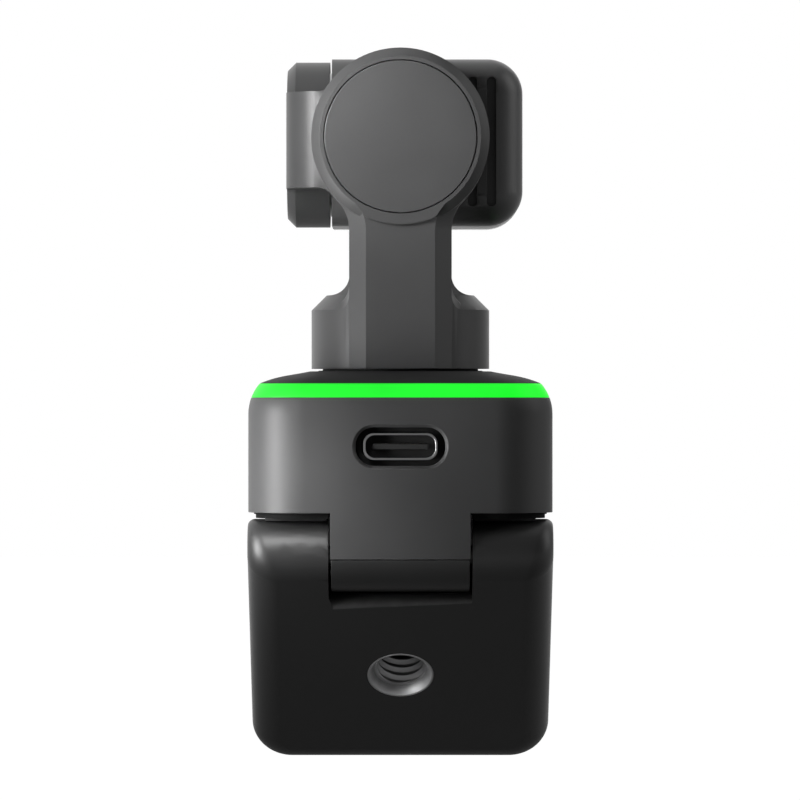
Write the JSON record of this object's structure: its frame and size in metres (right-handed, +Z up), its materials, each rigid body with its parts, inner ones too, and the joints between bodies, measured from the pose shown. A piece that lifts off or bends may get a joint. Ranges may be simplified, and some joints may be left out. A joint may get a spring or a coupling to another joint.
{
  "type": "webcam",
  "caption": "Webcam on a motorised pan, roll and tilt arm, with a clip base, a folding foot with a tripod thread, and a lit ring round the base.",
  "frame": {"origin": "on the underside of the rubber pad that sits on a monitor's top edge, at the centre of the base and on the pan axis", "axes": "+Z up along the pan axis, the lens looks along -Y, +X is to the camera's left side as seen from behind"},
  "size_m": [0.037, 0.0415, 0.0872],
  "materials": {
    "casing_black": "fine matte grain",
    "arm_black": "black anodised, matte",
    "front_black": "satin",
    "status_light": "translucent, lit green",
    "rubber_black": "matte",
    "dark_steel": "blackened",
    "port_steel": "satin",
    "magnet_steel": "nickel plated",
    "bare_aluminium": "satin",
    "copper_coil": "enamelled copper wire",
    "circuit_board": "solder mask",
    "chip_black": "moulded resin",
    "ribbon_cable": "polyimide film",
    "clear_glass": "coated, polished",
    "coated_glass": "coated, polished",
    "sensor_glass": "polished"
  },
  "bodies": {
    "base": {"base_shell": "casing_black", "base_top_cover": "casing_black", "light_strip": "status_light", "base_bottom_plate": "casing_black", "base_screws": "dark_steel", "seat_pad": "rubber_black", "front_lip": "casing_black", "lip_pad": "rubber_black", "usb_shell": "port_steel", "usb_tongue": "casing_black", "main_board": "circuit_board", "board_screws": "dark_steel", "processor": "chip_black", "heat_spreader": "bare_aluminium", "led_board": "circuit_board", "status_lamps": "status_light", "microphones": "port_steel", "touch_board": "circuit_board", "pan_post": "bare_aluminium", "pan_stator": "copper_coil", "hinge_barrel": "casing_black", "friction_sleeves": "dark_steel"},
    "foot": {"foot_shell": "casing_black", "foot_inner_plate": "casing_black", "foot_pad": "rubber_black", "tripod_bush": "dark_steel", "hinge_pin": "dark_steel", "knuckle_clamps": "casing_black", "foot_screws": "dark_steel"},
    "pan": {"pan_arm": "arm_black", "arm_cover": "arm_black", "arm_cable": "ribbon_cable", "arm_screws": "dark_steel", "pan_magnet_ring": "magnet_steel", "pan_bearing": "port_steel", "roll_cap": "arm_black", "roll_stator": "copper_coil", "roll_bearing": "port_steel"},
    "roll": {"roll_arm": "arm_black", "roll_magnet_ring": "magnet_steel", "roll_shaft": "port_steel", "hub_cover": "arm_black", "hub_screws": "dark_steel", "tilt_cap": "arm_black", "tilt_stator": "copper_coil", "tilt_bearing": "port_steel"},
    "head": {"head_rear_shell": "arm_black", "head_front_bezel": "front_black", "lens_ring": "arm_black", "front_glass": "clear_glass", "lens_barrel": "casing_black", "lens_elements": "coated_glass", "sensor_holder": "casing_black", "image_sensor": "sensor_glass", "sensor_board": "circuit_board", "head_heat_plate": "bare_aluminium", "tilt_magnet_ring": "magnet_steel", "tilt_shaft": "port_steel", "head_screws": "dark_steel"}
  },
  "joints": [
    {"name": "foot_hinge", "type": "hinge", "parent": "base", "child": "foot", "pos_m": [0, 0.0155, -0.00475], "axis": [1, 0, 0], "range_deg": [-43, 67]},
    {"name": "pan", "type": "hinge", "parent": "base", "child": "pan", "pos_m": [0, 0, 0.0178], "axis": [0, 0, 1], "range_deg": [-150, 150]},
    {"name": "roll", "type": "hinge", "parent": "pan", "child": "roll", "pos_m": [0, 0.0067, 0.046], "axis": [0, 1, 0], "range_deg": [-100, 100]},
    {"name": "tilt", "type": "hinge", "parent": "roll", "child": "head", "pos_m": [0.0085, -0.0107, 0.046], "axis": [1, 0, 0], "range_deg": [-90, 90]}
  ]
}
